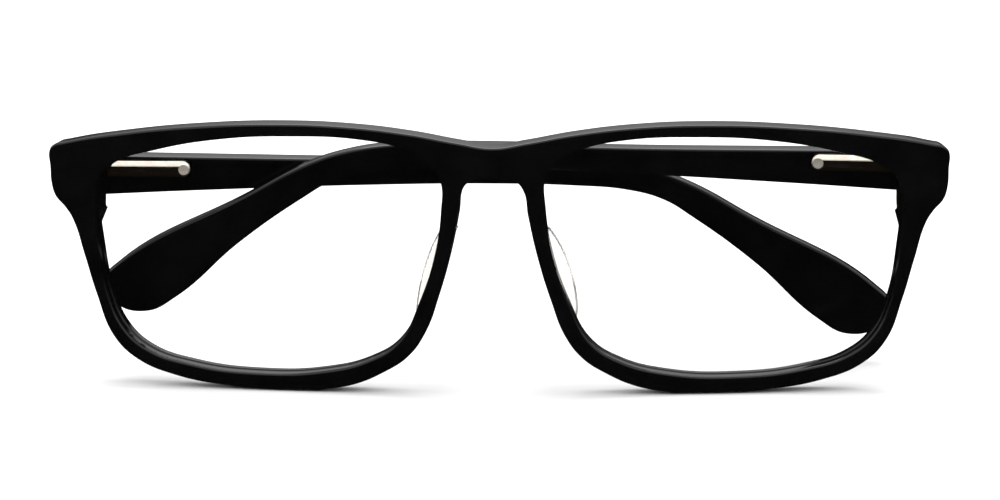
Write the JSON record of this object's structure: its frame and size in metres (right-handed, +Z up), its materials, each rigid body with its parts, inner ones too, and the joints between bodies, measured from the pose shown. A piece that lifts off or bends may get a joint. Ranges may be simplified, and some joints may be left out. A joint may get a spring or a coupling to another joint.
{
  "type": "eyeglasses frame",
  "caption": "Full-rim rectangular eyeglasses frame with folded temples on spring hinges, clear nose pads and empty lens grooves.",
  "frame": {"origin": "bottom centre of the folded frame's bounding box, at the height of the rims' lowest points", "axes": "+X to the wearer's left and the picture's right, along the front's width; -Y out of the front's face; +Z up the front"},
  "size_m": [0.1454, 0.0254, 0.044],
  "materials": {
    "acetate": "polished black cellulose acetate",
    "clear_pad": "clear polished plastic",
    "nickel_silver": "satin nickel silver with a slightly warm tone",
    "steel": "fine turned steel"
  },
  "bodies": {
    "root": {"front": "acetate", "nose_pad_left": "clear_pad", "nose_pad_right": "clear_pad", "front_hinge_left": "nickel_silver", "front_hinge_right": "nickel_silver", "hinge_screw_left": "steel", "hinge_screw_right": "steel"},
    "slider_left": {"slider_left": "nickel_silver", "rod_nut_left": "steel", "spring_left": "steel"},
    "temple_left": {"temple_left": "acetate", "spring_housing_left": "nickel_silver", "guide_bush_left": "steel", "core_wire_left": "steel"},
    "slider_right": {"slider_right": "nickel_silver", "rod_nut_right": "steel", "spring_right": "steel"},
    "temple_right": {"temple_right": "acetate", "spring_housing_right": "nickel_silver", "guide_bush_right": "steel", "core_wire_right": "steel"}
  },
  "joints": [
    {"name": "fold_left", "type": "hinge", "parent": "root", "child": "slider_left", "pos_m": [-0.0665, 0.00095, 0.03415], "axis": [0, 0, 1], "range_deg": [0, 86.8]},
    {"name": "flex_left", "type": "slide", "parent": "slider_left", "child": "temple_left", "axis": [0.9983, 0.0558, -0.0148], "range_m": [0, 0.0012], "stiffness_N_per_m": 1500, "deforming": ["spring_left"]},
    {"name": "fold_right", "type": "hinge", "parent": "root", "child": "slider_right", "pos_m": [0.0665, 0.00095, 0.03525], "axis": [0, 0, -1], "range_deg": [0, 91.6]},
    {"name": "flex_right", "type": "slide", "parent": "slider_right", "child": "temple_right", "axis": [-0.9994, -0.0279, 0.0227], "range_m": [0, 0.0012], "stiffness_N_per_m": 1500, "deforming": ["spring_right"]}
  ]
}
